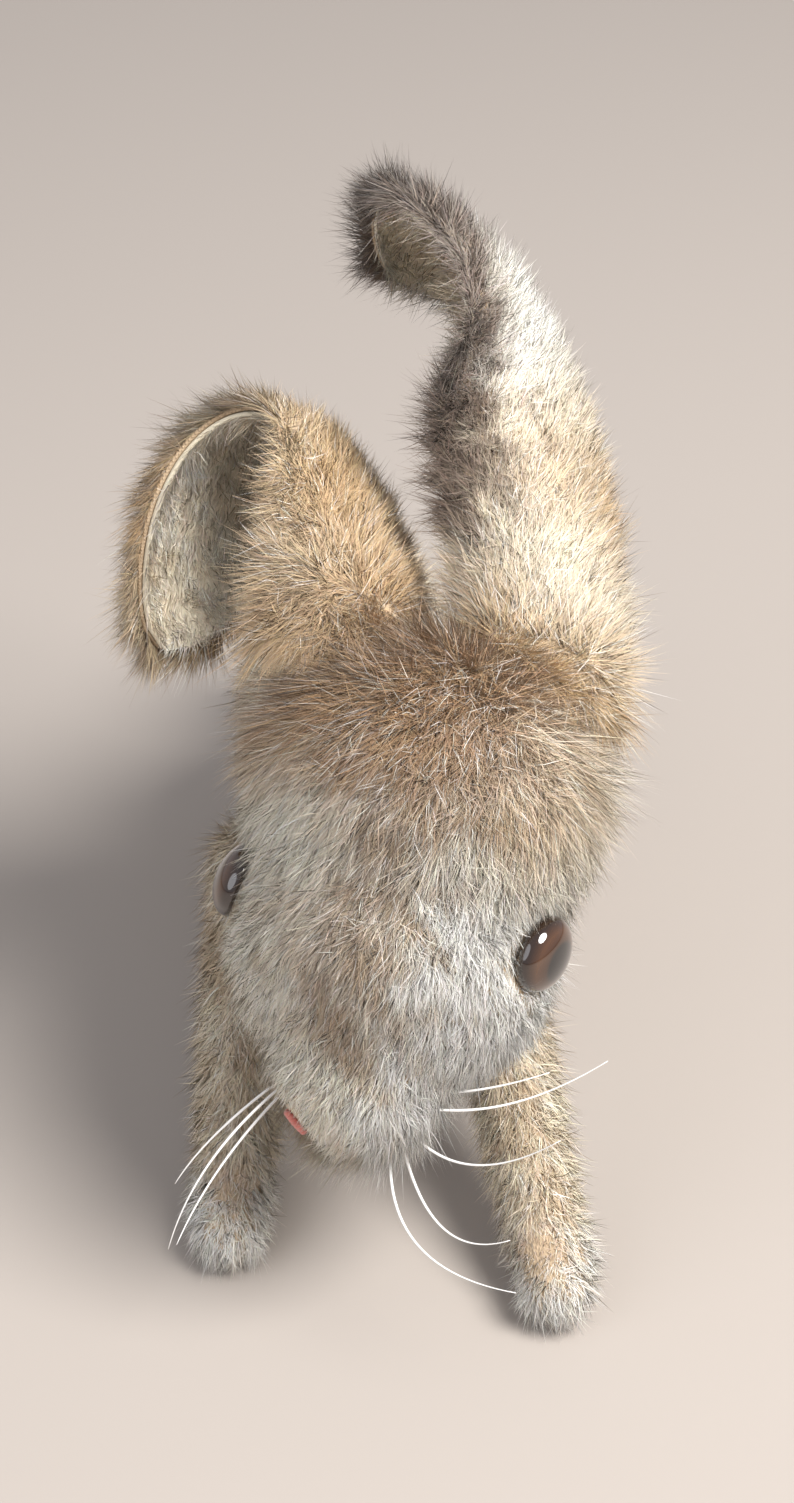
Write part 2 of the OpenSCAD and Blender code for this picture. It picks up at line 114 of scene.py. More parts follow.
class Finish:
    # a material being built: node() adds any node, shade() ends it with a Principled shader

    def __init__(self, name):
        self.material = bpy.data.materials.new(name)
        self.material.use_nodes = True
        self.tree = self.material.node_tree
        self.tree.nodes.clear()
        self.out = self.tree.nodes.new("ShaderNodeOutputMaterial")

    def node(self, kind, settings=None, inputs=None, output=0):
        made = self.tree.nodes.new(kind)
        for key, value in (settings or {}).items():
            if key == "stops":
                ramp = made.color_ramp
                while len(ramp.elements) < len(value):
                    ramp.elements.new(0.5)
                for element, (place, colour) in zip(ramp.elements, value):
                    element.position, element.color = place, (*colour, 1)
            else:
                setattr(made, key, value)
        for key, value in (inputs or {}).items():
            if isinstance(value, Sock):
                self.tree.links.new(value.socket, made.inputs[key])
            else:
                made.inputs[key].default_value = value
        return Sock(self, made.outputs[output])

    def where(self):
        return self.node("ShaderNodeTexCoord", output="Object")

    def noise(self, scale, detail=3, rough=0.5, vector=None):
        vector = vector or self.where()
        return self.node("ShaderNodeTexNoise", None,
                         {"Vector": vector, "Scale": scale, "Detail": detail, "Roughness": rough})

    def blend(self, mask, a, b):
        return self.node("ShaderNodeMix", {"data_type": "RGBA"}, {0: mask, 6: a, 7: b}, 2)

    def bump(self, height, strength, distance):
        return self.node("ShaderNodeBump", None,
                         {"Height": height, "Strength": strength, "Distance": distance})

    def shade(self, **inputs):
        names = {"colour": "Base Color", "rough": "Roughness", "normal": "Normal", "metal": "Metallic",
                 "sheen": "Sheen Weight", "sheenRough": "Sheen Roughness", "coat": "Coat Weight",
                 "coatRough": "Coat Roughness", "specular": "Specular IOR Level"}
        shader = self.node("ShaderNodeBsdfPrincipled", None, {names[k]: v for k, v in inputs.items()})
        self.tree.links.new(shader.socket, self.out.inputs["Surface"])
        return self.material


def mohairFinish():
    m = Finish("mohairPile")
    hair = m.node("ShaderNodeAttribute", {"attribute_name": "hairColour"}, output="Color")
    gloss = m.node("ShaderNodeAttribute", {"attribute_name": "hairGloss"}, output="Fac")
    return m.shade(colour=hair, rough=0.62 - gloss * 0.34, specular=0.5, sheen=0.15, sheenRough=0.4)


def backingFinish():
    # woven cotton that the pile stands in: two crossed thread waves and uneven dye
    m = Finish("mohairBacking")
    here = m.where()
    warp = m.node("ShaderNodeTexWave", {"bands_direction": "X"}, {"Vector": here, "Scale": 900.0})
    weft = m.node("ShaderNodeTexWave", {"bands_direction": "Z"}, {"Vector": here, "Scale": 900.0})
    tone = m.noise(120.0)
    colour = m.blend(tone, (0.40, 0.28, 0.17, 1), (0.62, 0.49, 0.34, 1))
    return m.shade(colour=colour, rough=0.9, normal=m.bump(warp * weft, 0.5, 0.0002))


def velvetFinish():
    # short cream velvet: fine nap, faint stains
    m = Finish("earVelvet")
    nap = m.noise(2600.0, 2)
    stain = m.noise(90.0, 4)
    colour = m.blend(stain, (0.66, 0.58, 0.42, 1), (0.86, 0.80, 0.66, 1))
    return m.shade(colour=colour, rough=0.85, sheen=0.5, sheenRough=0.35,
                   normal=m.bump(nap, 0.35, 0.0002))


def eyeFinish(centre, way, radius):
    # brown glass with a black pupil: rings round the eye's own axis
    m = Finish("eyeGlass")
    away = m.node("ShaderNodeVectorMath", {"operation": "SUBTRACT"},
                  {0: m.where(), 1: tuple(centre)})
    along = m.node("ShaderNodeVectorMath", {"operation": "DOT_PRODUCT"},
                   {0: away, 1: tuple(way)}, output="Value")
    far = m.node("ShaderNodeVectorMath", {"operation": "LENGTH"}, {0: away}, output="Value")
    ring = m.node("ShaderNodeMath", {"operation": "SQRT"}, {0: far * far - along * along}) / radius
    colour = m.node("ShaderNodeValToRGB", {"stops": [
        (0.0, (0.004, 0.003, 0.003)), (0.50, (0.004, 0.003, 0.003)), (0.58, (0.040, 0.016, 0.007)),
        (0.80, (0.075, 0.032, 0.014)), (0.97, (0.02, 0.009, 0.005))]}, {0: ring})
    return m.shade(colour=colour, rough=0.06, coat=1.0, coatRough=0.02, specular=0.7)


def flossFinish():
    m = Finish("noseFloss")
    worn = m.noise(700.0, 4)
    colour = m.blend(worn, (0.36, 0.05, 0.04, 1), (0.72, 0.26, 0.20, 1))
    return m.shade(colour=colour, rough=0.6, sheen=0.3)


def nylonFinish():
    m = Finish("whiskerNylon")
    tone = m.noise(300.0)
    colour = m.blend(tone, (0.80, 0.79, 0.76, 1), (0.95, 0.94, 0.92, 1))
    return m.shade(colour=colour, rough=0.28, specular=0.6, coat=0.3)


def steelFinish():
    m = Finish("plainSteel")
    scratch = m.noise(1500.0, 5)
    return m.shade(colour=m.blend(scratch, (0.42, 0.41, 0.40, 1), (0.60, 0.59, 0.57, 1)), metal=1.0,
                   rough=0.3 + scratch * 0.25)


def boardFinish():
    m = Finish("pressedBoard")
    fibre = m.noise(800.0, 6, 0.7)
    return m.shade(colour=m.blend(fibre, (0.32, 0.23, 0.14, 1), (0.55, 0.43, 0.29, 1)), rough=0.85,
                   normal=m.bump(fibre, 0.4, 0.0001))


def woolFinish():
    m = Finish("stuffingWool")
    curl = m.noise(350.0, 6, 0.75)
    return m.shade(colour=m.blend(curl, (0.58, 0.49, 0.34, 1), (0.86, 0.80, 0.66, 1)), rough=0.95,
                   sheen=0.3, normal=m.bump(curl, 1.0, 0.0008))


finishes = {"mohair": mohairFinish(), "backing": backingFinish(), "ear_velvet": velvetFinish(),
            "nose_floss": flossFinish(), "whisker_nylon": nylonFinish(), "steel": steelFinish(),
            "fibreboard": boardFinish(), "stuffing": woolFinish()}
print("finishes made")


def gridFaces(rows, cols, closed):
    # quads of a rows x cols grid of points; closed joins the last column to the first
    i, j = np.meshgrid(np.arange(rows - 1), np.arange(cols if closed else cols - 1), indexing="ij")
    k = (j + 1) % cols
    return np.stack([i * cols + j, i * cols + k, (i + 1) * cols + k, (i + 1) * cols + j], -1).reshape(-1, 4)


def makePiece(name, points, quads, tris, body, slotName, finish):
    quads, tris = np.asarray(quads, int).reshape(-1, 4), np.asarray(tris, int).reshape(-1, 3)
    mesh = bpy.data.meshes.new(name)
    mesh.vertices.add(len(points))
    mesh.vertices.foreach_set("co", np.ascontiguousarray(points, np.float32).ravel())
    loops = np.concatenate([quads.ravel(), tris.ravel()]).astype(np.int32)
    mesh.loops.add(len(loops))
    mesh.loops.foreach_set("vertex_index", loops)
    mesh.polygons.add(len(quads) + len(tris))
    starts = np.concatenate([np.arange(len(quads)) * 4, len(quads) * 4 + np.arange(len(tris)) * 3])
    mesh.polygons.foreach_set("loop_start", starts.astype(np.int32))
    mesh.update(calc_edges=True)
    mesh.polygons.foreach_set("use_smooth", np.full(len(mesh.polygons), True))
    mesh.validate()
    piece = bpy.data.objects.new(name, mesh)
    bpy.context.scene.collection.objects.link(piece)
    mesh.materials.append(finish)
    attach(piece, body)
    return piece


def trianglesOf(quads, tris):
    return np.concatenate([quads[:, [0, 1, 2]], quads[:, [0, 2, 3]], tris])


def outwards(points, quads, tris):
    # turns every face round if the closed shape's signed volume is negative
    fan = trianglesOf(quads, tris)
    a, b, c = (points[fan[:, k]] - points.mean(0) for k in range(3))
    if np.einsum("ij,ij->i", a, np.cross(b, c)).sum() < 0:
        return points, quads[:, ::-1], tris[:, ::-1]
    return points, quads, tris


def closeEnds(grid):
    # the grid's first and last rows become one point each, fanned with triangles
    rows, cols = grid.shape[:2]
    points = np.concatenate([grid[1:-1].reshape(-1, 3), [grid[0].mean(0)], [grid[-1].mean(0)]])
    j = np.arange(cols)
    k = (j + 1) % cols
    last = (rows - 3) * cols
    first = np.stack([np.full(cols, len(points) - 2), k, j], -1)
    final = np.stack([np.full(cols, len(points) - 1), last + j, last + k], -1)
    return outwards(points, gridFaces(rows - 2, cols, True), np.concatenate([first, final]))


def tubeAlong(path, radii, sides):
    # A closed tube: a circle of each radius, square to the path at each of its points, set round it from one fixed
    # sideways direction.
    way = unit(np.gradient(path, axis=0))
    right = unit(np.cross(way, [0.31, 0.22, 0.92]))
    up = np.cross(right, way)
    a = np.linspace(0, 2 * math.pi, sides, endpoint=False)
    ring = np.cos(a)[None, :, None] * right[:, None] + np.sin(a)[None, :, None] * up[:, None]
    grid = path[:, None] + radii[:, None, None] * ring
    return closeEnds(np.concatenate([path[:1, None] + 0 * ring[:1], grid, path[-1:, None] + 0 * ring[:1]]))


def joinShapes(shapes):
    shift, points, quads, tris = 0, [], [], []
    for p, q, t in shapes:
        points.append(p)
        quads.append(q + shift)
        tris.append(t + shift)
        shift += len(p)
    return np.concatenate(points), np.concatenate(quads), np.concatenate(tris)


def softShape(balls, links, soft, cuts=()):
    # The distance to a shape inflated over balls that are joined by tapering links.
    # Along a link a ball goes from one end to the other while its radius changes evenly, and
    # links melt into each other over the length soft. cuts are planes that trim it flat.
    centres = np.array([b[0] for b in balls])
    radii = np.array([b[1] for b in balls])

    def field(p):
        total = np.zeros(p.shape[:-1])
        for a, b in links:
            span = centres[b] - centres[a]
            t = np.clip(((p - centres[a]) @ span) / max(float(span @ span), 1e-12), 0, 1)
            d = np.linalg.norm(p - centres[a] - t[..., None] * span, axis=-1)
            total += np.exp(-np.clip((d - radii[a] - t * (radii[b] - radii[a])) / soft, -60, 60))
        d = -soft * np.log(np.maximum(total, 1e-26))
        for point, way in cuts:
            d = np.maximum(d, (p - point) @ way)
        return d
    return field


def wrapShape(field, guides, rows, cols, reach):
    # Points on the shape's surface: rays leave a line through its middle, square to it along its
    # length and fanning out over both ends, and each stops where the distance is zero.
    guides = np.asarray(guides, float)
    v = np.linspace(-1, 1, rows)
    lean = math.pi / 2 * np.sign(v) * np.abs(v) ** 2.5
    t = 0.5 + 0.5 * np.sin(v * math.pi / 2)
    steps = np.concatenate([[0], np.cumsum(np.linalg.norm(np.diff(guides, axis=0), axis=1))])
    fine = np.linspace(0, 1, 41)
    line = np.stack([np.interp(fine, steps / steps[-1], guides[:, k]) for k in range(3)], -1)
    for _ in range(6):  # rounds the line's corners
        line[1:-1] = (line[:-2] + 2 * line[1:-1] + line[2:]) / 4
    origin = np.stack([np.interp(t, fine, line[:, k]) for k in range(3)], -1)
    slope = unit(np.gradient(line, axis=0))
    ahead = unit(np.stack([np.interp(t, fine, slope[:, k]) for k in range(3)], -1))
    right = unit(np.cross(ahead, np.array([0.98, 0.1, 0.15])))
    up = np.cross(right, ahead)
    a = np.linspace(0, 2 * math.pi, cols, endpoint=False)
    flat = np.cos(a)[None, :, None] * right[:, None] + np.sin(a)[None, :, None] * up[:, None]
    way = np.cos(lean)[:, None, None] * flat + np.sin(lean)[:, None, None] * ahead[:, None]
    near, far = np.zeros((rows, cols)), np.full((rows, cols), reach)
    for _ in range(22):
        middle = (near + far) / 2
        inside = field(origin[:, None] + middle[..., None] * way) < 0
        near, far = np.where(inside, middle, near), np.where(inside, far, middle)
    return origin[:, None] + ((near + far) / 2)[..., None] * way


pileTotals = {"strands": 0, "triangles": 0}


def waves(seed, length, count=10):
    # A smooth uneven value of about -1 to 1 over space: a sum of sine waves of about one length.
    draw = np.random.default_rng(seed)
    k = unit(draw.normal(size=(count, 3))) * (2 * math.pi / length) * draw.uniform(0.7, 1.4, (count, 1))
    shift = draw.uniform(0, 2 * math.pi, count)
    return lambda p: np.sin(p @ k.T + shift).sum(-1) / math.sqrt(count * 1.6)


def smoothStep(x, low, high):
    t = np.clip((x - low) / (high - low), 0, 1)
    return t * t * (3 - 2 * t)


def scatter(points, quads, tris, count, draw, weight, carried):
    # roots spread evenly by area times weight, with the surface's normal and what its points carry
    fan = trianglesOf(quads, tris)
    a, b, c = (points[fan[:, k]] for k in range(3))
    cross = np.cross(b - a, c - a)
    area = np.linalg.norm(cross, axis=1)
    extra = [carried[fan[:, k]] for k in range(3)]
    if weight is not None:
        area = area * weight((a + b + c) / 3, unit(cross), sum(extra) / 3)
    pick = np.searchsorted(np.cumsum(area) / area.sum(), np.sort(draw.uniform(0, 1, count)))
    pick = np.minimum(pick, len(fan) - 1)
    u, v = draw.uniform(0, 1, (2, count))
    over = u + v > 1
    u, v = np.where(over, 1 - u, u)[:, None], np.where(over, 1 - v, v)[:, None]
    root = a[pick] + u * (b - a)[pick] + v * (c - a)[pick]
    brought = extra[0][pick] * (1 - u - v) + extra[1][pick] * u + extra[2][pick] * v
    return root, unit(cross)[pick], brought


def growPile(name, root, normal, brought, body, slotName, look, seed):
    # One strand a root: it leaves along the lifted flow, bends over towards it, and tapers.
    # The flow and the bend waver smoothly over space, so that the strands gather into locks.
    draw = np.random.default_rng(seed)
    count, levels = len(root), look["levels"]
    flow = look["flow"](root, normal, brought)
    flow = unit(flow - (flow * normal).sum(-1, keepdims=True) * normal)
    locks = np.stack([waves(look["seed"] + i, look["lock"])(root) for i in range(3)], -1)
    curls = np.stack([waves(look["seed"] + 7 + i, look["curl"])(root) for i in range(3)], -1)
    loose = draw.normal(size=(count, 3))
    way = flow * look["lay"] + normal * look["lift"] + look["wave"] * locks
    way = unit(way + look["loose"] * loose + look["frizz"] * curls)
    way = unit(way + normal * np.maximum(0.15 - (way * normal).sum(-1, keepdims=True), 0))
    length = look["length"](root, normal, brought) * mm * draw.uniform(0.5, 1.15, count)
    fall = flow * look["droop"] + look["drop"] * np.array([0, 0, -1.0])
    fall = fall + look["bend"] * (locks[:, [1, 2, 0]] + 0.7 * draw.normal(size=(count, 3)))
    fall = fall + normal * np.maximum(-(fall * normal).sum(-1, keepdims=True) - 0.5, 0)
    t = np.linspace(0, 1, levels + 1)[None, :, None]
    path = root[:, None] + length[:, None, None] * (t * way[:, None] + 0.5 * t**2 * fall[:, None])
    path = path - look["sink"] * mm * normal[:, None]
    across = unit(np.cross(way, normal + 0.6 * draw.normal(size=(count, 3))))
    half = (look["width"] * mm / 2 * draw.uniform(0.6, 1.3, count))[:, None, None]
    taper = np.linspace(1, 0.5, levels)[None, :, None] ** 0.7
    low = path[:, :levels] - half * taper * across[:, None]
    high = path[:, :levels] + half * taper * across[:, None]
    size = 2 * levels + 1
    points = np.concatenate([np.stack([low, high], 2).reshape(count, -1, 3), path[:, levels:]], 1)
    base = np.arange(count)[:, None] * size
    quads = np.stack([base + np.array([2 * i, 2 * i + 1, 2 * i + 3, 2 * i + 2])
                      for i in range(levels - 1)], 1).reshape(-1, 4)
    tris = base + np.array([2 * levels - 2, 2 * levels - 1, 2 * levels])
    piece = makePiece(name, points.reshape(-1, 3), quads, tris, body, slotName, finishes["mohair"])
    mesh = piece.data

    rootTint, tipTint, gloss = look["tint"](root, normal, draw, brought)
    share = np.concatenate([np.repeat(t[0, :levels, 0], 2), [1.0]])
    mix = smoothStep(share, 0.2, 0.95)[None, :, None]
    # each strand is painted darker towards its root: painted shade deep in the pile
    paintedRootShade = (look["paintedRootShade"] + (1 - look["paintedRootShade"]) * smoothStep(share, 0.0, 0.6))[None, :, None]
    colour = (rootTint[:, None] * (1 - mix) + tipTint[:, None] * mix) * paintedRootShade
    colour = np.concatenate([colour, np.ones((count, size, 1))], -1).astype(np.float32)
    tints = mesh.color_attributes.new("hairColour", "FLOAT_COLOR", "POINT")
    tints.data.foreach_set("color", colour.ravel())
    mesh.attributes.new("hairGloss", "FLOAT", "POINT").data.foreach_set(
        "value", np.repeat(gloss, size).astype(np.float32))

    # each strand has its own cell of the unit square, so that its colours can be baked
    wide = int(math.ceil(math.sqrt(count * 4)))
    tall = int(math.ceil(count / wide))
    k = np.arange(count)[:, None]
    u = (k % wide + np.array([0.15, 0.85] * levels + [0.5])) / wide
    v = (k // wide + 0.1 + 0.8 * share[None, :]) / tall
    corner = np.empty(len(mesh.loops), np.int32)
    mesh.loops.foreach_get("vertex_index", corner)
    mesh.uv_layers.new(name="OFBake").data.foreach_set(
        "uv", np.stack([u.ravel()[corner], v.ravel()[corner]], -1).astype(np.float32).ravel())

    side = np.concatenate([np.tile([-0.6, 0.6], levels), [0.0]])[None, :, None]
    tilt = look["sparkle"] * draw.normal(size=(count, 1, 3))
    shading = unit(normal[:, None] * look["soft"] + 0.35 * way[:, None] + side * across[:, None] + tilt)
    mesh.normals_split_custom_set_from_vertices(shading.reshape(-1, 3).astype(np.float32))
    pileTotals["strands"] += count
    pileTotals["triangles"] += count * (2 * levels - 1)
    return piece


# the look every pile starts from; its root darkening is painted shade
pileBasis = {"levels": 2, "lay": 0.8, "lift": 0.62, "wave": 0.36, "loose": 0.36, "frizz": 0.30,
             "droop": 0.45, "drop": 0.30, "bend": 0.55, "lock": 3.0 * mm, "curl": 1.1 * mm,
             "width": 0.11, "sink": 0.15, "soft": 0.9, "sparkle": 0.25, "paintedRootShade": 0.6, "seed": 50,
             "flow": lambda p, n, c: np.broadcast_to([0, 1.0, 0], p.shape),
             "length": lambda p, n, c: np.full(len(p), 3.5)}


def pileOver(name, surface, count, body, seed, look, weight=None, carried=None, slotName="mohair"):
    # shares a big coat out over pieces that each stay small
    parts = max(1, math.ceil(count / 60000))
    if carried is None:
        carried = np.zeros((len(surface[0]), 1))
    settings = {**pileBasis, **look}
    for part in range(parts):
        draw = np.random.default_rng(seed + 100 * part)
        root, normal, brought = scatter(*surface, count // parts, draw, weight, carried)
        growPile(f"{name}_{part + 1}", root, normal, brought, body, slotName, settings,
                 seed + 100 * part + 1)


cream = np.array([0.87, 0.74, 0.54])
paleCream = np.array([0.97, 0.94, 0.87])
gold = np.array([0.66, 0.45, 0.23])
rust = np.array([0.42, 0.21, 0.09])
taupe = np.array([0.27, 0.18, 0.125])
darkTip = np.array([0.07, 0.05, 0.05])

patches = waves(11, 15 * mm)
specks = waves(12, 4.5 * mm)


def mixTint(a, b, share):
    share = np.clip(share, 0, 1)[..., None]
    return a * (1 - share) + b * share


def vary(colour, draw, amount=0.15):  # each strand a little lighter or darker, warmer or cooler
    shade = 1 + amount * draw.normal(size=(len(colour), 1))
    warm = 1 + 0.04 * draw.normal(size=(len(colour), 3))
    return np.clip(colour * shade * warm, 0.01, 0.97)


def glintPaintAndVary(root, tip, draw, shineShare):
    # most strands are dull; a few are painted pale as painted glints, and get a low roughness to catch the light
    # painted highlight: these strands' colours are mixed towards pale cream
    shine = draw.uniform(0, 1, len(root)) < shineShare
    gloss = np.where(shine, 1.0, draw.uniform(0, 0.45, len(root)))
    root = mixTint(root, paleCream, 0.7 * shine)
    tip = mixTint(tip, paleCream, 0.9 * shine)
    return vary(root, draw), vary(tip, draw), gloss


def coatTint(p, n, draw, c):
    # cream, with golden patches whose tips are grey-brown
    worn = np.clip(0.5 + 0.6 * patches(p) + 0.3 * specks(p), 0, 1)
    root = mixTint(np.broadcast_to(cream, p.shape), gold, 0.35 * worn)
    tip = mixTint(root, taupe, 0.6 * worn * draw.uniform(0.2, 1.0, len(p)))
    return glintPaintAndVary(root, tip, draw, 0.08)


def makeSkin(name, surface, body, node):
    skin = makePiece(name, *surface, body, "mohair", finishes["backing"])
    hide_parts(node)


# where two pieces lie against each other this share of the pile is left out
closedShare = 0.98


def soleShare(p, n):  # 1 on the parts of a limb that stand on the ground
    return smoothStep(-n[:, 2], 0.4, 0.9) * smoothStep(-p[:, 2], -3 * mm, -1 * mm)


def againstTrunk(p, n, sign, joint, reach):  # the flat of a limb, round its joint
    near = np.linalg.norm((p - joint)[:, 1:], axis=-1) < reach * mm
    return (n[:, 0] * sign < -0.8) * near


earSize = {"length": 62.0, "width": 27.0, "stand": 2.0, "tilt": 35.0, "blunt": 7, "skull": 17.5,
           "rows": 96, "cols": 44, "near": 0.08, "far": 0.62}
ears = {
    "left": {"base": (12.5, 4.0, 13.0), "twist": (0, 60, 110), "cup": (60, 75), "strands": 86000,
             "steps": ((0, 0, 0), (0.08, 0.39, -0.19), (0.05, 0.77, -0.13), (-0.27, 0.82, 0.065))},
    "right": {"base": (-8.5, 7.0, 15.5), "twist": (4, 138, 142), "cup": (40.5, 36), "strands": 78000,
              "steps": ((0, 0, 0), (0.176, 0.41, -0.203), (-0.184, 0.597, -0.25), (-0.31, 0.02, -0.15))}}

headSize = {"skull": 17.5, "cheek": 12.5, "muzzle": 8.5, "faceLength": 27.0, "cheekSpan": 9.0,
            "skinIn": 1.5, "soft": 1.1, "strands": 166000}
# pile is left out round the eyes, over the nose and just behind it: from none to all, in mm
clearings = {"eye": (3.4, 4.6), "nose": (2.2, 3.4), "behindNose": (2.0, 3.2), "step": 1.6}


def clearOf(p, place, name):
    near, far = clearings[name]
    return smoothStep(np.linalg.norm(p - place, axis=-1), near * mm, far * mm)



def headTint(p, n, draw, c):
    # a brown streak runs down the face from a rust brow; the left cheek, on the lamp's side, is painted whiter as
    # painted light, with one golden patch behind its eye
    q = (p - skullAt) / mm
    side, ahead, up = q @ sideWay, q @ faceWay, q @ topWay
    middle = 2.2 - 0.14 * ahead + 1.2 * specks(p)
    streak = np.exp(-((side - middle) / 4.8) ** 2) * smoothStep(up, -3, 5) * smoothStep(-ahead, -30, -18)
    brow = smoothStep(-ahead, -3, 9) * smoothStep(up, -4, 8) * (1 - 0.65 * smoothStep(side, 5, 12))
    brown = np.clip(1.5 * streak + 0.75 * brow + 0.28 * patches(p) + 0.35 * specks(p) - 0.14, 0, 1)
    # painted light: the cheek that faces the lamp is painted whiter than the other
    white = smoothStep(side - middle, 3, 8) * smoothStep(ahead, -3, 10)
    golden = np.exp(-((side - 13) / 4) ** 2 - ((ahead + 1) / 6) ** 2)
    root = mixTint(np.broadcast_to(cream, p.shape), paleCream, 0.45 + 0.55 * white)
    root = mixTint(root, gold, 0.75 * brow + 0.4 * brown * (0.5 + specks(p)) + 0.45 * golden)
    root = mixTint(root, taupe, 0.35 * brown)
    root = mixTint(root, rust, 0.45 * brow * draw.uniform(0.4, 1, len(p)))
    tip = mixTint(root, taupe, brown * draw.uniform(0.35, 1.0, len(p)))
    tip = mixTint(tip, rust, 0.5 * brow * draw.uniform(0, 1, len(p)))
    return glintPaintAndVary(root, tip, draw, 0.13)


def headParts():
    # a skull, two cheeks, a bridge and a muzzle, melted together and cut off square to the neck
    size, face = headSize, headSize["faceLength"]
    balls = [((0, 0, 0), size["skull"]), ((size["cheekSpan"] / 2, face * 0.55, -1.5), size["cheek"]),
             ((-size["cheekSpan"] / 2, face * 0.55, -1.5), size["cheek"]), ((0, face, 0), size["muzzle"]),
             ((0, face * 0.5, 4), size["cheek"])]
    balls = [(onHead(*at), (r - size["skinIn"]) * mm) for at, r in balls]
    links = [(0, 1), (0, 2), (0, 4), (1, 2), (1, 3), (2, 3), (4, 3), (0, 3)]
    field = softShape(balls, links, size["soft"] * mm, [(neckAt + neckWay * 0.3 * mm, -neckWay)])
    guides = [onHead(0, -4, 0), onHead(0, 12, 0.5), onHead(0, 26, 0)]
    surface = closeEnds(wrapShape(field, guides, 120, 160, 40 * mm))
    makeSkin("head_skin", surface, "head", "head_cover")
    eyes = [middleOf("left_eye"), middleOf("right_eye")]
    nose = middleOf("nose_stitching")
    earBases = [skullAt + mm * np.array(ear["base"]) for ear in ears.values()]

    def weight(p, n, c):
        behind = nose - clearings["step"] * mm * faceWay
        clear = clearOf(p, nose, "nose") * clearOf(p, behind, "behindNose")
        for eye in eyes:
            clear = clear * clearOf(p, eye, "eye")
        return clear * (1 - closedShare * smoothStep(-(p - neckAt) @ neckWay, -1.2 * mm, -0.4 * mm))

    def length(p, n, c):
        q = (p - skullAt) / mm
        ahead, up = q @ faceWay, q @ topWay
        chin = smoothStep(ahead, 22, 32) * smoothStep(-up, -3, 4)
        long = 3.1 + 1.2 * smoothStep(-ahead, -4, 12) - 0.9 * smoothStep(ahead, 6, 22) + 2.2 * chin
        for ear in earBases:
            long = long + 1.6 * (1 - smoothStep(np.linalg.norm(p - ear, axis=-1), 9 * mm, 15 * mm))
        near = np.minimum(*[np.linalg.norm(p - eye, axis=-1) for eye in eyes]) / mm
        near = np.minimum(near, np.linalg.norm(p - nose + 1.5 * mm * faceWay, axis=-1) / mm + 0.5)
        return long * (0.45 + 0.55 * smoothStep(near, 3.5, 8))

    def flow(p, n, c):
        q = (p - skullAt) / mm
        return faceWay + 0.30 * np.array([-1, 0, -0.5]) + 0.012 * (q @ sideWay)[:, None] * sideWay

    pileOver("head_pile", surface, size["strands"], "head", 1000,
             {"flow": flow, "length": length, "tint": headTint}, weight)
    return field


headField = headParts()
print("head made")

eyeSize = {"radius": 4.2, "dome": 2.6, "out": 16.6, "ahead": 11.0, "up": 3.0, "side": 76, "back": 10}


def eyeParts(name, sign):
    # A glass dome: a quarter ellipse turned round the eye's own axis, with a flat back.
    size = eyeSize
    socket = headTurn @ turn("y", sign * size["side"]) @ turn("x", sign * size["back"])
    way, right, up = socket[:, 2], socket[:, 0], socket[:, 1]
    seat = onHead(sign * size["out"], size["ahead"], size["up"])
    a = np.linspace(0, math.pi / 2, 40)
    b = np.linspace(0, 2 * math.pi, 72, endpoint=False)
    ring = np.cos(b)[None, :, None] * right + np.sin(b)[None, :, None] * up
    dome = size["radius"] * np.sin(a)[:, None, None] * ring + size["dome"] * np.cos(a)[:, None, None] * way
    rim = size["radius"] * np.array([0.99, 0.9])[:, None, None] * ring - 0.5 * way
    grid = seat + mm * np.concatenate([dome, rim, 0 * ring - 0.5 * way])
    eye = makePiece(f"{name}_glass", *closeEnds(grid), "head", "eye_glass",
                    eyeFinish(seat, way, size["radius"] * mm))
    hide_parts(name)


eyeParts("left_eye", 1)
eyeParts("right_eye", -1)
print("eyes made")

noseSize = {"rows": 7, "pitch": 0.42, "halfLength": 1.5, "thread": 0.3, "depth": 0.35}


def noseParts():
    # Satin stitches: short threads side by side, each an arc over the tip of the muzzle.
    size = noseSize
    centre = middleOf("nose_stitching")
    muzzle = onHead(0, headSize["faceLength"], 0)
    out = unit(centre - muzzle)
    down = unit(faceWay - (faceWay @ out) * out)
    along = np.cross(out, down)
    steps = np.linspace(0, 14, 281)
    inside = headField(muzzle + mm * steps[:, None] * out) < 0
    reach = steps[inside].max() + 0.4
    threads = []
    for i in range(size["rows"]):
        step = (i - (size["rows"] - 1) / 2) * size["pitch"]
        half = size["halfLength"] * math.sqrt(1 - 0.6 * (step / (size["rows"] * size["pitch"] / 2)) ** 2)
        x = np.linspace(-1, 1, 15)
        path = out * reach + down * step + along * (x * half)[:, None]
        path = unit(path) * (reach - size["depth"] * np.abs(x)[:, None] ** 6)
        threads.append(tubeAlong(muzzle + mm * path, np.full(15, size["thread"] * mm), 10))
    nose = makePiece("nose_threads", *joinShapes(threads), "head", "nose_floss", finishes["nose_floss"])
    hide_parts("nose_stitching")


noseParts()

# each whisker's root, middle guide and tip, on the head: sideways, ahead and up, in mm
whiskers = {
    "left": [((5.5, 31.5, -2.5), (13.5, 34.0, -2.5), (23.0, 29.0, 2.5)),
             ((5.0, 32.0, -3.5), (11.5, 41.0, -5.0), (19.5, 40.5, -3.0)),
             ((4.5, 32.5, -3.5), (9.5, 43.0, -3.0), (21.5, 45.5, -2.5)),
             ((7.0, 28.0, -2.0), (13.5, 26.0, 0.5), (20.0, 22.6, 1.0)),
             ((6.5, 29.5, 0.0), (16.0, 27.0, -1.0), (25.5, 20.0, 0.6))],
    "right": [((-6.5, 30.0, 1.0), (-11.8, 40.0, 4.0), (-15.1, 50.5, 0.0)),
              ((-6.5, 30.5, 0.0), (-11.0, 40.0, 2.0), (-13.5, 49.5, 3.0)),
              ((-6.8, 29.0, -1.0), (-13.0, 37.0, -1.0), (-17.0, 44.0, -3.0))]}
whiskerSize = {"root": 0.17, "tip": 0.05, "rings": 28, "sides": 8}


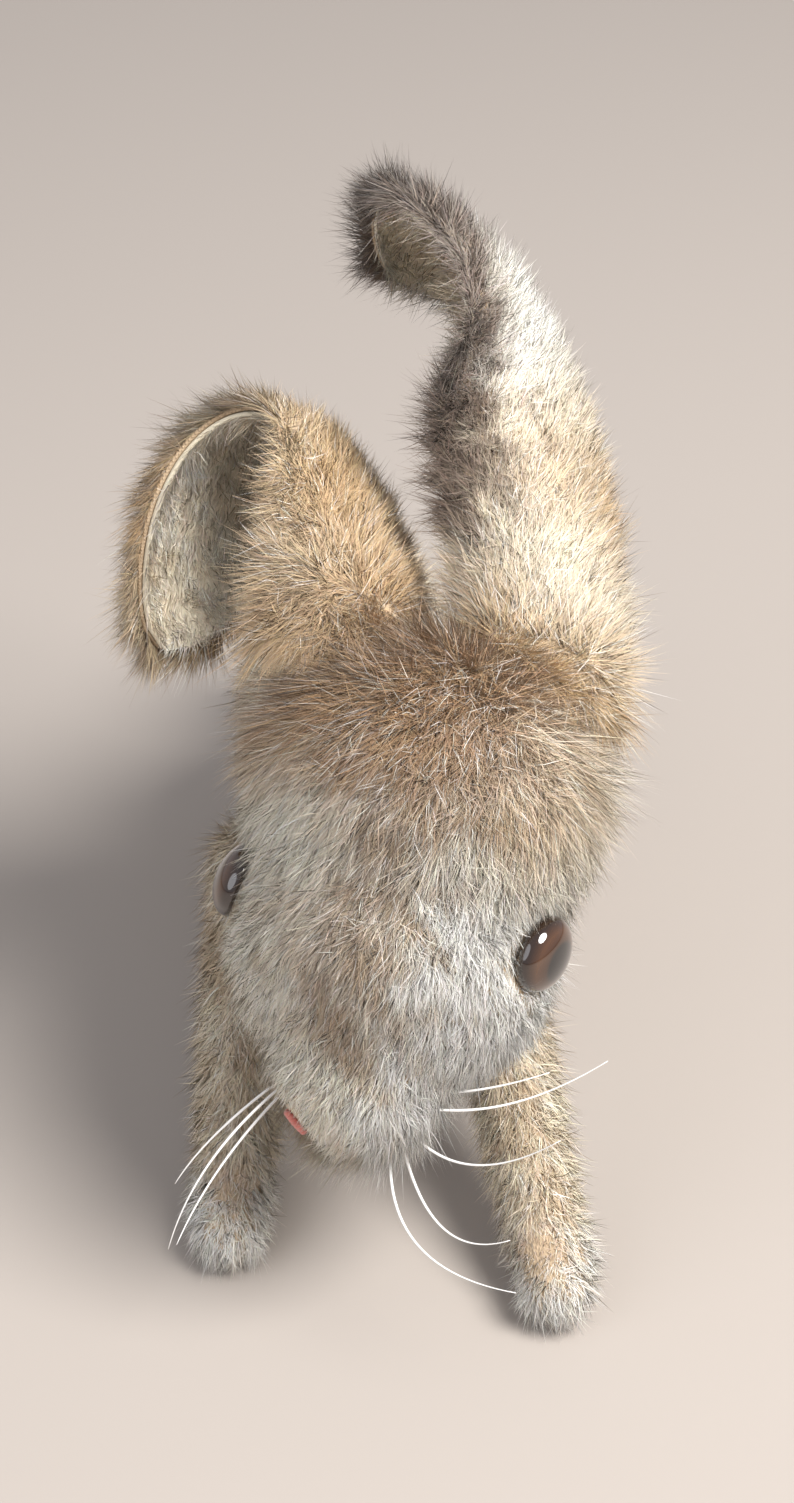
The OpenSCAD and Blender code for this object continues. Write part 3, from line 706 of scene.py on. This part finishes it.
def whiskerParts(name):
    # each is a tube along a curve through three guides, thinner towards its tip
    t = np.linspace(0, 1, whiskerSize["rings"])[:, None]
    radii = mm * (whiskerSize["root"] + (whiskerSize["tip"] - whiskerSize["root"]) * t[:, 0] ** 1.5)
    tubes = []
    for guides in whiskers[name]:
        a, b, c = (onHead(*g) for g in guides)
        b = 2 * b - (a + c) / 2
        curve = (1 - t) ** 2 * a + 2 * (1 - t) * t * b + t**2 * c
        tubes.append(tubeAlong(curve, radii, whiskerSize["sides"]))
    hairs = makePiece(f"{name}_whisker_hairs", *joinShapes(tubes), "head", "whisker_nylon",
                      finishes["whisker_nylon"])
    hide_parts(f"{name}_whiskers")


whiskerParts("left")
whiskerParts("right")
print("nose and whiskers made")

trunkSize = {"chest": 12.0, "rump": 15.0, "halfWidth": 8.0, "backRise": 2.0, "belly": 12.0,
             "bellyShare": 0.43, "neck": 8.8, "skinIn": 0.9, "soft": 1.4, "strands": 60000}


def trunkParts():
    # the flanks are a shoulder, a back and a rump between two flat planes; a neck and a belly melt
    # into them. The tail is a short capsule behind the rump
    size, skinIn = trunkSize, trunkSize["skinIn"]
    side = np.array([1.0, 0, 0])
    middle = (shoulderAt + hipAt) / 2 + np.array([0, 0, size["backRise"]]) * mm
    bellyAt = shoulderAt + (hipAt - shoulderAt) * size["bellyShare"]
    bellyAt[2] = (shoulderAt[2] + hipAt[2]) / 2
    balls = [(shoulderAt, size["chest"]), (middle, (size["chest"] + size["rump"]) / 2),
             (hipAt, size["rump"])]
    balls = [(at, (r - skinIn) * mm) for at, r in balls]
    cuts = [(shoulderAt + sign * side * (size["halfWidth"] - 0.1) * mm, sign * side) for sign in (1, -1)]
    flank = softShape(balls, [(0, 1), (1, 2)], size["soft"] * mm, cuts)
    neckEnd = neckAt - neckWay * (headPose["gap"] * mm)
    stub = softShape([(shoulderAt, (size["halfWidth"] - skinIn) * mm),
                      (neckEnd, (size["neck"] - skinIn) * mm)], [(0, 1)], mm, [(neckEnd, neckWay)])
    belly = softShape([(bellyAt, (size["belly"] - skinIn) * mm)] * 2, [(0, 1)], mm)
    melt = size["soft"] * mm

    def field(p):  # the three shapes melted together
        parts = [np.exp(-np.clip(part(p) / melt, -60, 60)) for part in (flank, stub, belly)]
        return -melt * np.log(np.maximum(sum(parts), 1e-26))

    guides = [shoulderAt + [0, 0, mm], bellyAt, hipAt - [0, 3 * mm, 0]]
    surface = closeEnds(wrapShape(field, guides, 150, 150, 60 * mm))
    makeSkin("trunk_skin", surface, "trunk", "body_cover")
    joined = [(shoulderAt, 5.2 * mm), (hipAt, 10.5 * mm)]

    def weight(p, n, c):  # no pile where the limbs and the head lie against the trunk
        clear = 1 - closedShare * smoothStep((p - neckEnd) @ neckWay, -1.5 * mm, -0.6 * mm)
        for at, r in joined:
            far = np.linalg.norm((p - at)[:, 1:], axis=-1)
            clear = clear * (1 - closedShare * (np.abs(n[:, 0]) > 0.8) * (far < r))
        return clear

    def flow(p, n, c):
        return np.array([0, 1.0, -0.45]) + 0.25 * n * np.array([1.0, 0, 0])

    def length(p, n, c):
        return 3.9 + 0.5 * patches(p)

    pileOver("trunk_pile", surface, size["strands"], "trunk", 2000,
             {"flow": flow, "length": length, "tint": coatTint, "seed": 90}, weight)

    low, high = (np.array(v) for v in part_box("tail_cover"))
    tailAt, tailR = (low + high) / 2, (high - low).min() / 2
    balls = [(tailAt, tailR - skinIn * mm), (tailAt + [0, 0.6 * mm, mm], tailR - 1.2 * skinIn * mm)]
    ball = softShape(balls, [(0, 1)], mm)
    surface = closeEnds(wrapShape(ball, [tailAt - [0, mm, 0], tailAt + [0, mm, mm]], 48, 64, 12 * mm))
    makeSkin("tail_skin", surface, "trunk", "tail_cover")
    pileOver("tail_pile", surface, 11000, "trunk", 2900,
             {"flow": lambda p, n, c: (p - tailAt) / mm * 0.1 + np.array([0, 0.7, 0.5]), "lift": 0.9,
              "length": lambda p, n, c: np.full(len(p), 4.6), "tint": coatTint, "seed": 130})


trunkParts()
print("trunk and tail made")

legSize = {"top": 5.6, "middle": 5.0, "paw": 4.6, "proud": 0.6, "toeAhead": 0.7, "toeShare": 0.9,
           "gap": 0.5, "skinIn": 0.9, "cutOut": 0.1, "soft": 0.35, "closed": 6.5, "strands": 38000}
hindSize = {"thigh": 11.0, "thick": 8.0, "foot": 4.2, "heelBack": 4.0, "footLength": 30.0,
            "soft": 0.4, "closed": 10.0, "strands": 27000}


def legTint(paw, worn):
    # brown-tan above, bleached towards the paw, with worn spots where the backing shows
    def tint(p, n, draw, c):
        q = (p - paw) / mm
        up = smoothStep(q[:, 2], 3, 20)
        white = 1 - smoothStep(q[:, 2] + 0.5 * q[:, 1], 1, 9)
        brown = np.clip(0.2 + 0.45 * up + 0.45 * patches(p * 1.7) + 0.45 * specks(p) - 0.3 * white, 0, 1)
        rub = np.exp(-(np.linalg.norm(p - worn, axis=-1) / (2.6 * mm)) ** 2)
        root = mixTint(np.broadcast_to(cream, p.shape), paleCream, 0.2 + 0.7 * white)
        root = mixTint(root, rust, 0.7 * rub)
        root = mixTint(root, gold, 0.5 * brown)
        tip = mixTint(root, taupe, 0.9 * brown * draw.uniform(0.3, 1.0, len(p)))
        return glintPaintAndVary(root, tip, draw, 0.10)
    return tint


def forelegParts(name, sign, wornStep):
    # a leg that tapers from its top to its paw and toe; wornStep goes from the paw to its bald spot
    size = legSize
    side = np.array([1.0, 0, 0])
    low, high = (np.array(v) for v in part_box(f"{name}_foreleg_cover"))
    flat = shoulderAt + sign * side * (trunkSize["halfWidth"] + size["gap"]) * mm
    outer = high[0] if sign > 0 else low[0]
    paw = np.array([outer - sign * size["paw"] * mm,
                    low[1] + size["paw"] * (size["toeAhead"] + size["toeShare"]) * mm, size["paw"] * mm])
    top = flat + sign * side * size["top"] * size["proud"] * mm
    toe = paw + size["paw"] * mm * np.array([0, -size["toeAhead"], size["toeShare"] - 1])
    balls = [(top, size["top"]), ((top + paw) / 2, size["middle"]), (paw, size["paw"]),
             (toe, size["paw"] * size["toeShare"])]
    balls = [(at, (r - size["skinIn"]) * mm) for at, r in balls]
    cut = [(flat + sign * side * size["cutOut"] * mm, -sign * side)]
    field = softShape(balls, [(0, 1), (1, 2), (2, 3), (0, 3)], size["soft"] * mm, cut)
    guides = [top + (paw - top) * 0.02, (top + paw) / 2, paw, toe + [0, 0.5 * mm, 0]]
    surface = closeEnds(wrapShape(field, guides, 110, 72, 14 * mm))
    body = f"{name}_foreleg"
    makeSkin(f"{name}_foreleg_skin", surface, body, f"{name}_foreleg_cover")
    worn = paw + mm * np.array(wornStep)

    def weight(p, n, c):
        rub = np.exp(-(np.linalg.norm(p - worn, axis=-1) / (2.2 * mm)) ** 2)
        return (1 - 0.7 * rub) * (1 - closedShare * againstTrunk(p, n, sign, flat, size["closed"]))

    def length(p, n, c):
        rub = np.exp(-(np.linalg.norm(p - worn, axis=-1) / (2.4 * mm)) ** 2)
        inner = smoothStep(-n[:, 0] * sign, 0.5, 0.9) * smoothStep(p[:, 2], 14 * mm, 20 * mm)
        long = 2.3 + 0.9 * smoothStep(p[:, 2], 6 * mm, 22 * mm)
        return long * (1 - 0.55 * rub) * (1 - 0.7 * soleShare(p, n)) * (1 - 0.6 * inner)

    def flow(p, n, c):
        return np.broadcast_to(unit(paw - top) + [0, 0, -0.2], p.shape)

    pileOver(f"{name}_foreleg_pile", surface, size["strands"], body, 3000 if sign > 0 else 3500,
             {"flow": flow, "length": length, "tint": legTint(paw, worn), "lift": 0.5, "drop": 0.15,
              "lock": 2.4 * mm, "seed": 170 if sign > 0 else 190, "width": 0.12}, weight)


forelegParts("left", 1, (-2.2, -1.5, 4.6))
forelegParts("right", -1, (1.0, -2.0, 6.5))
print("forelegs made")


def hindLegParts(name, sign):
    # a thigh that tapers to the heel, and a foot that lies flat ahead of the heel
    size = hindSize
    side = np.array([1.0, 0, 0])
    flat = hipAt + sign * side * (trunkSize["halfWidth"] + legSize["gap"]) * mm
    cut = [(flat + sign * side * legSize["cutOut"] * mm, -sign * side)]
    thigh = flat + sign * side * (size["thick"] - size["thigh"]) * mm
    heel = np.array([flat[0] + sign * size["foot"] * mm, hipAt[1] + size["heelBack"] * mm,
                     size["foot"] * mm])
    toe = heel - [0, (size["footLength"] - 2 * size["foot"]) * mm, 0]
    skinIn, body = legSize["skinIn"], f"{name}_hind_leg"
    upper = softShape([(thigh, (size["thigh"] - skinIn) * mm), (heel, (size["foot"] - skinIn) * mm)],
                      [(0, 1)], size["soft"] * mm, cut)
    lower = softShape([(heel, (size["foot"] - skinIn) * mm), (toe, (size["foot"] - skinIn) * mm)],
                      [(0, 1)], size["soft"] * mm, cut)
    start = thigh + sign * side * (size["thigh"] - size["thick"] + 2) * mm
    shapes = [closeEnds(wrapShape(upper, [start, (start + heel) / 2, heel], 80, 96, 30 * mm)),
              closeEnds(wrapShape(lower, [heel, (heel + toe) / 2, toe], 70, 56, 14 * mm))]
    surface = joinShapes(shapes)
    makeSkin(f"{name}_hind_leg_skin", surface, body, f"{name}_hind_leg_cover")

    def weight(p, n, c):
        return 1 - closedShare * againstTrunk(p, n, sign, flat, size["closed"])

    def length(p, n, c):
        inner = smoothStep(-n[:, 0] * sign, 0.5, 0.9)
        long = 2.2 + 1.4 * smoothStep(p[:, 2], 8 * mm, 26 * mm)
        return long * (1 - 0.75 * soleShare(p, n)) * (1 - 0.6 * inner)

    def flow(p, n, c):
        foot = smoothStep(-p[:, 2], -11 * mm, -6 * mm)[:, None]
        return (1 - foot) * np.array([0, 0.6, -1.0]) + foot * np.array([0, -1.0, -0.15])

    pileOver(f"{name}_hind_leg_pile", surface, size["strands"], body, 4000 if sign > 0 else 4500,
             {"flow": flow, "length": length, "tint": legTint(toe, toe + [0, 0, 20 * mm]), "lift": 0.5,
              "drop": 0.2, "seed": 210 if sign > 0 else 230}, weight)


hindLegParts("left", 1)
hindLegParts("right", -1)
print("hind legs made")

def laid(v):  # a step sideways, up and forward, tilted back
    s, c = math.sin(math.radians(earSize["tilt"])), math.cos(math.radians(earSize["tilt"]))
    return np.array([v[0], v[1] * s - v[2] * c, v[1] * c + v[2] * s])


def earGrid(ear, depth):
    # The leaf at a depth out of its middle face. Its middle line is a cubic curve; across it the
    # leaf wraps round a circle as wide as the leaf, and twists about the line towards its tip.
    size = earSize
    s, t = np.meshgrid(np.linspace(0, 1, size["rows"]), np.linspace(-1, 1, size["cols"]), indexing="ij")
    guides = [skullAt + mm * (np.array(ear["base"]) + size["length"] * laid(v)) for v in ear["steps"]]
    g, w = np.array(guides), s[..., None]
    line = (1 - w) ** 3 * g[0] + 3 * (1 - w) ** 2 * w * g[1] + 3 * (1 - w) * w**2 * g[2] + w**3 * g[3]
    way = unit((1 - w) ** 2 * (g[1] - g[0]) + 2 * (1 - w) * w * (g[2] - g[1]) + w**2 * (g[3] - g[2]))
    cup = np.radians(ear["cup"][0] * (1 - s) + ear["cup"][1] * s)
    half = size["width"] / 2 * (0.55 + 0.45 * np.sin(math.pi * np.minimum(1, s * 0.85)))
    half = half * np.sqrt(np.maximum(0, 1 - s ** size["blunt"])) + 0.5
    r = (half * mm / cup)[..., None]
    a, b, c = ear["twist"]
    twist = np.radians((1 - s) ** 2 * a + 2 * (1 - s) * s * b + s**2 * c)[..., None]
    front = laid((0, 0, 1))
    fore = unit(front - (way @ front)[..., None] * way)
    out = np.cos(twist) * fore + np.sin(twist) * np.cross(way, fore)
    across = np.cross(way, out)
    turned = (cup * t)[..., None]
    p = line + (r + depth) * np.sin(turned) * across + ((r + depth) * np.cos(turned) - r) * out
    off = p - skullAt
    far = np.linalg.norm(off, axis=-1, keepdims=True)
    return skullAt + off / far * np.maximum(far, (size["skull"] + size["stand"]) * mm + depth), s, t


def earSheet(outer, inner):
    # two grids closed along their four sides
    rows, cols = outer.shape[:2]
    points = np.concatenate([outer.reshape(-1, 3), inner.reshape(-1, 3)])
    face = gridFaces(rows, cols, False)
    j, i = np.arange(cols - 1), np.arange(rows - 1) * cols
    edges = [(j, j + 1), ((rows - 1) * cols + j + 1, (rows - 1) * cols + j), (i + cols, i),
             (i + cols - 1, i + 2 * cols - 1)]
    n = rows * cols
    sides = [np.stack([b, a, a + n, b + n], -1) for a, b in edges]
    return outwards(points, np.concatenate([face, face[:, ::-1] + n] + sides), np.zeros((0, 3), int))


def areaOf(grid):  # of a grid of points, as parallelograms
    a, b = grid[1:, :-1] - grid[:-1, :-1], grid[:-1, 1:] - grid[:-1, :-1]
    return float(np.linalg.norm(np.cross(a, b), axis=-1).sum())


def leftEarTint(p, n, draw, c):
    # golden at the base, nearly white in the middle; dark at the tip and along both edges
    s, t = c[:, 0], c[:, 1]
    tipDark = smoothStep(s + 0.05 * specks(p) + 0.04 * t, 0.72, 0.84)
    fringe = smoothStep(-t + 0.16 * specks(p), 0.42, 0.75) * smoothStep(s, 0.16, 0.26)
    fringe = np.maximum(fringe, 0.8 * smoothStep(t, 0.6, 0.95) * smoothStep(s, 0.5, 0.65))
    blush = smoothStep(s, 0.35, 0.6)
    root = mixTint(np.broadcast_to(cream, p.shape), paleCream, 0.35 + 0.6 * blush + 0.2 * patches(p))
    root = mixTint(root, gold, (1 - blush) * (0.35 + 0.4 * patches(p)) + 0.5 * smoothStep(-s, -0.12, 0))
    brown = np.clip((1 - blush) * (0.3 + 0.5 * specks(p)), 0, 1)
    tip = mixTint(root, taupe, brown * draw.uniform(0.2, 1.0, len(p)))
    dark = np.clip(np.maximum(tipDark, fringe), 0, 1)
    root = mixTint(root, taupe, 0.9 * dark)
    tip = mixTint(tip, darkTip, dark * draw.uniform(0.65, 1.0, len(p)))
    colours = glintPaintAndVary(root, tip, draw, 0.16)
    return tuple(np.where((dark > 0.5)[:, None] if k.ndim > 1 else dark > 0.5, dim, k)
                 for k, dim in zip(colours, (vary(root, draw), vary(tip, draw), 0.2)))


def rightEarTint(p, n, draw, c):
    # golden brown, rust towards the base, with dark tips along the edges
    s, t = c[:, 0], c[:, 1]
    fringe = smoothStep(np.abs(t), 0.86, 1.0) * smoothStep(s, 0.35, 0.5)
    fringe = np.maximum(fringe, smoothStep(s, 0.92, 1.0))
    root = mixTint(np.broadcast_to(cream, p.shape), gold, 0.55 + 0.4 * patches(p))
    brown = np.clip(0.5 + 0.5 * specks(p) + 0.4 * smoothStep(-s, -0.35, -0.05), 0, 1)
    tip = mixTint(root, taupe, 0.75 * brown * draw.uniform(0.2, 1.0, len(p)))
    root = mixTint(root, rust, 0.45 * smoothStep(-s, -0.4, 0) * brown)
    tip = mixTint(tip, darkTip, fringe * draw.uniform(0.5, 1.0, len(p)))
    return glintPaintAndVary(root, tip, draw, 0.07)


def liningTint(p, n, draw, c):
    # pale cream, dark-tipped only at the very edge
    root = mixTint(np.broadcast_to(cream, p.shape), paleCream, 0.65 + 0.3 * patches(p))
    edge = np.maximum(smoothStep(np.abs(c[:, 1]), 0.93, 1.0), smoothStep(c[:, 0], 0.97, 1.0))
    root = mixTint(root, gold, 0.25 + 0.3 * specks(p))
    return glintPaintAndVary(root, mixTint(root, darkTip, 0.8 * edge), draw, 0.05)


def earParts(name, tint, flowMore):
    # two cloths a little apart, mohair pile on one and short nap on the other. The pile runs up the
    # ear and out over its edges, and down over the head at its base
    ear, body = ears[name], f"{name}_ear"
    size = earSize
    flat = (size["width"] * mm, size["length"] * mm)
    finishOf = {"back": ("mohair", "backing"), "lining": ("ear_velvet", "ear_velvet")}
    depths = {"back": (size["near"], size["far"]), "lining": (-size["far"], -size["near"])}
    for layer, (near, far) in depths.items():
        (outer, s, t), (inner, _, _) = earGrid(ear, far * mm), earGrid(ear, near * mm)
        sheet = makePiece(f"{name}_ear_{layer}_cloth", *earSheet(outer, inner), body,
                          finishOf[layer][0], finishes[finishOf[layer][1]])
        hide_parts(f"{name}_ear_{layer}")
        clothArea = min(areaOf((outer + inner) / 2), 0.99 * flat[0] * flat[1])

    (outer, s, t), (inner, _, _) = earGrid(ear, size["far"] * mm), earGrid(ear, -size["far"] * mm)
    along, over = unit(np.gradient(outer, axis=0)), unit(np.gradient(outer, axis=1))
    carried = np.concatenate([s[..., None], t[..., None], along, over], -1).reshape(-1, 8)
    quads = gridFaces(*outer.shape[:2], False)
    a, b, c = (outer.reshape(-1, 3)[quads[:, k]] for k in range(3))
    out = (outer - inner).reshape(-1, 3)[quads[:, 0]]
    if (np.cross(b - a, c - a) * out).sum() < 0:
        quads = quads[:, ::-1]
    none = np.zeros((0, 3), int)

    def flow(p, n, c):
        edge = np.sign(c[:, 1:2]) * smoothStep(np.abs(c[:, 1:2]), 0.5, 1.0)
        rise = 1 - 2 * (1 - smoothStep(c[:, :1], 0.02, 0.12))
        return rise * c[:, 2:5] + 0.8 * edge * c[:, 5:8] + np.array(flowMore)

    def length(p, n, c):
        edge = smoothStep(np.abs(c[:, 1]), 0.8, 1.0) + smoothStep(c[:, 0], 0.85, 1.0)
        return 2.7 + 1.3 * np.clip(edge, 0, 1) + 1.6 * smoothStep(-c[:, 0], -0.2, 0)

    def weight(p, n, c):  # a fuller fringe along the edges
        edge = 0.9 * smoothStep(np.abs(c[:, 1]), 0.85, 1.0) + 0.6 * smoothStep(c[:, 0], 0.9, 1.0)
        return 1 + edge + 1.5 * smoothStep(-c[:, 0], -0.1, -0.02)

    pileOver(f"{name}_ear_pile", (outer.reshape(-1, 3), quads, none), ear["strands"], body,
             5000 if name == "left" else 6000,
             {"flow": flow, "length": length, "tint": tint, "lift": 0.5, "drop": 0.12, "wave": 0.28,
              "seed": 260 if name == "left" else 290}, weight, carried)
    pileOver(f"{name}_ear_nap", (inner.reshape(-1, 3), quads[:, ::-1], none), 24000, body,
             5600 if name == "left" else 6600,
             {"flow": lambda p, n, c: c[:, 2:5] + c[:, 1:2] * c[:, 5:8],
              "length": lambda p, n, c: 1.9 + 1.2 * smoothStep(np.abs(c[:, 1]), 0.8, 1.0),
              "tint": liningTint, "lift": 0.7, "paintedRootShade": 0.75, "drop": 0,
              "seed": 320}, None, carried, "ear_velvet")


earParts("left", leftEarTint, (0, 0, 0.1))
earParts("right", rightEarTint, (-0.5, -0.3, -0.5))
print("ears made")


def pointAt(holder, place, aim):
    holder.location = place
    holder.rotation_euler = (Vector(aim) - Vector(place)).to_track_quat("-Z", "Y").to_euler()


def stageParts():
    floor = bpy.data.meshes.new("paleFloor")
    half = 4.0
    corners = [(-half, -half, 0), (half, -half, 0), (half, half, 0), (-half, half, 0)]
    floor.from_pydata(corners, [], [(0, 1, 2, 3)])
    ground = bpy.data.objects.new("paleFloor", floor)
    bpy.context.scene.collection.objects.link(ground)
    m = Finish("paleFloorPaint")
    floor.materials.append(m.shade(colour=(0.42, 0.375, 0.34, 1), rough=0.8))
    world = bpy.data.worlds.new("paleRoom")
    world.use_nodes = True
    world.node_tree.nodes["Background"].inputs[0].default_value = (0.86, 0.86, 0.90, 1)
    world.node_tree.nodes["Background"].inputs[1].default_value = 0.5
    bpy.context.scene.world = world


lamps = {"windowLight": {"place": (0.42, -0.30, 0.70), "size": 0.45, "power": 12.5,
                         "colour": (1.0, 0.98, 0.95)},
         "roomLight": {"place": (-0.60, -0.55, 0.50), "size": 0.8, "power": 3.0,
                       "colour": (0.93, 0.95, 1.0)}}


def addLamp(name):
    settings = lamps[name]
    lamp = bpy.data.lights.new(name, "AREA")
    lamp.shape = "DISK"
    lamp.size, lamp.energy, lamp.color = settings["size"], settings["power"], settings["colour"]
    holder = bpy.data.objects.new(name, lamp)
    bpy.context.scene.collection.objects.link(holder)
    pointAt(holder, settings["place"], (0, 0, 0.05))


cameraSet = {"distance": 0.330, "elevation": 35.0, "aim": (4, -1, 46), "lens": 70.0, "sensor": 36.0}


def addCamera():
    aim = np.array([shoulderAt[0], shoulderAt[1], 0]) + mm * np.array(cameraSet["aim"])
    tilt = math.radians(cameraSet["elevation"])
    place = aim + cameraSet["distance"] * np.array([0, -math.cos(tilt), math.sin(tilt)])
    camera = bpy.data.cameras.new("camera")
    camera.sensor_fit, camera.sensor_height = "VERTICAL", cameraSet["sensor"]
    camera.lens = cameraSet["lens"]
    camera.clip_start = 0.01
    holder = bpy.data.objects.new("camera", camera)
    bpy.context.scene.collection.objects.link(holder)
    pointAt(holder, place, aim)
    bpy.context.scene.camera = holder


stageParts()
addCamera()
addLamp("windowLight")
addLamp("roomLight")
bpy.context.scene.view_settings.view_transform = "Standard"
print("stage made")

slotOf = {part["node"]: part["material_slot"] for part in frame["record"]["subparts"]}
for nodeName, node in frame["nodes"].items():
    if slotOf.get(nodeName) in finishes:
        node.data.materials.clear()
        node.data.materials.append(finishes[slotOf[nodeName]])

print(pileTotals)
